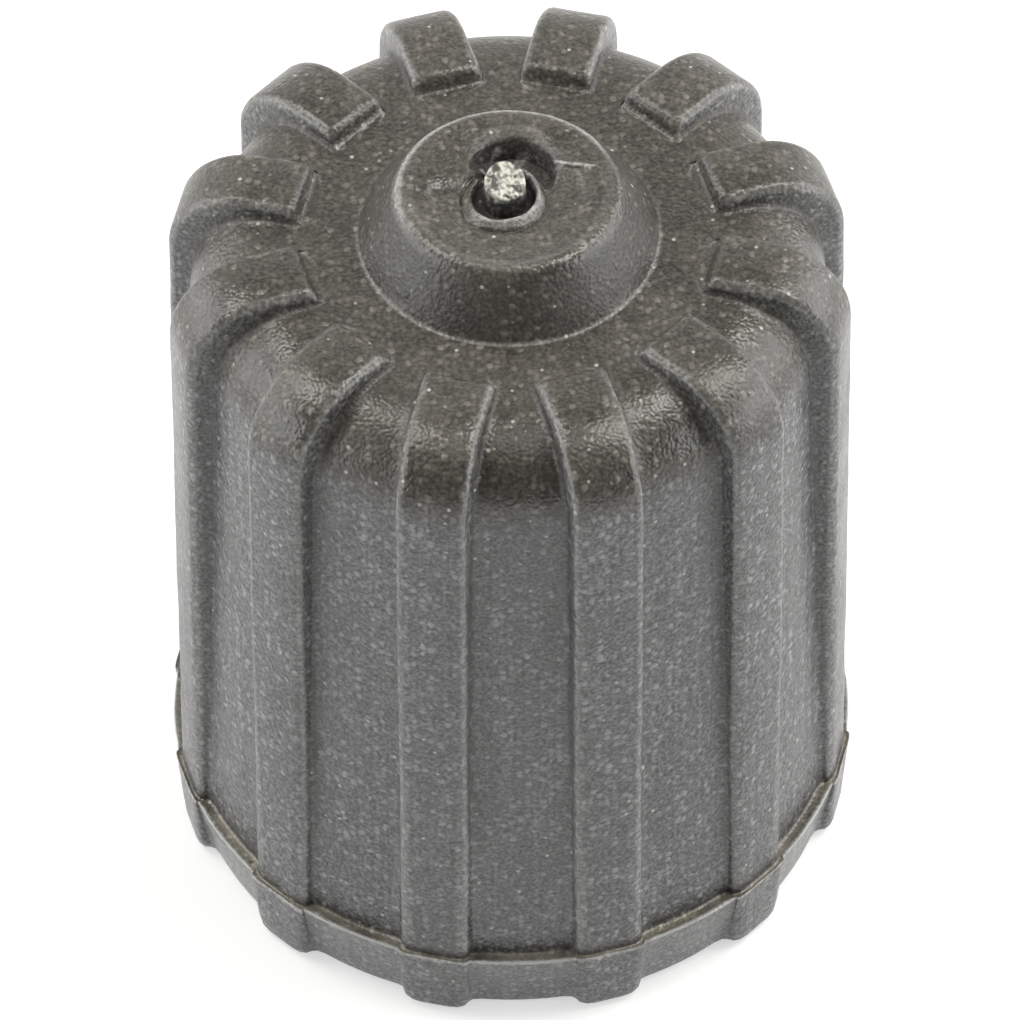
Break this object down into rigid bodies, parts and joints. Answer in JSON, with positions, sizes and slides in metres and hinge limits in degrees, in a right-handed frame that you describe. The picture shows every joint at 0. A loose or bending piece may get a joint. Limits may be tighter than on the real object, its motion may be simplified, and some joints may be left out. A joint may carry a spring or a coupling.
{
  "type": "tyre valve cap",
  "caption": "Moulded plastic screw-on cap for a tyre valve, with grip ribs folding over the shoulder, a dished boss on top and a rubber sealing washer inside.",
  "frame": {"origin": "centre of the mouth's rim, on the plane that the cap stands on", "axes": "+Z along the thread's axis, from the mouth to the boss on top; +Y away from the picture's camera, +X to its right"},
  "size_m": [0.0112, 0.0112, 0.0142],
  "materials": {
    "cap_plastic": "fine matt grain, dark grey, filled nylon",
    "seal_rubber": "smooth black rubber"
  },
  "bodies": {
    "root": {"cap_body": "cap_plastic", "sealing_washer": "seal_rubber"}
  },
  "joints": []
}
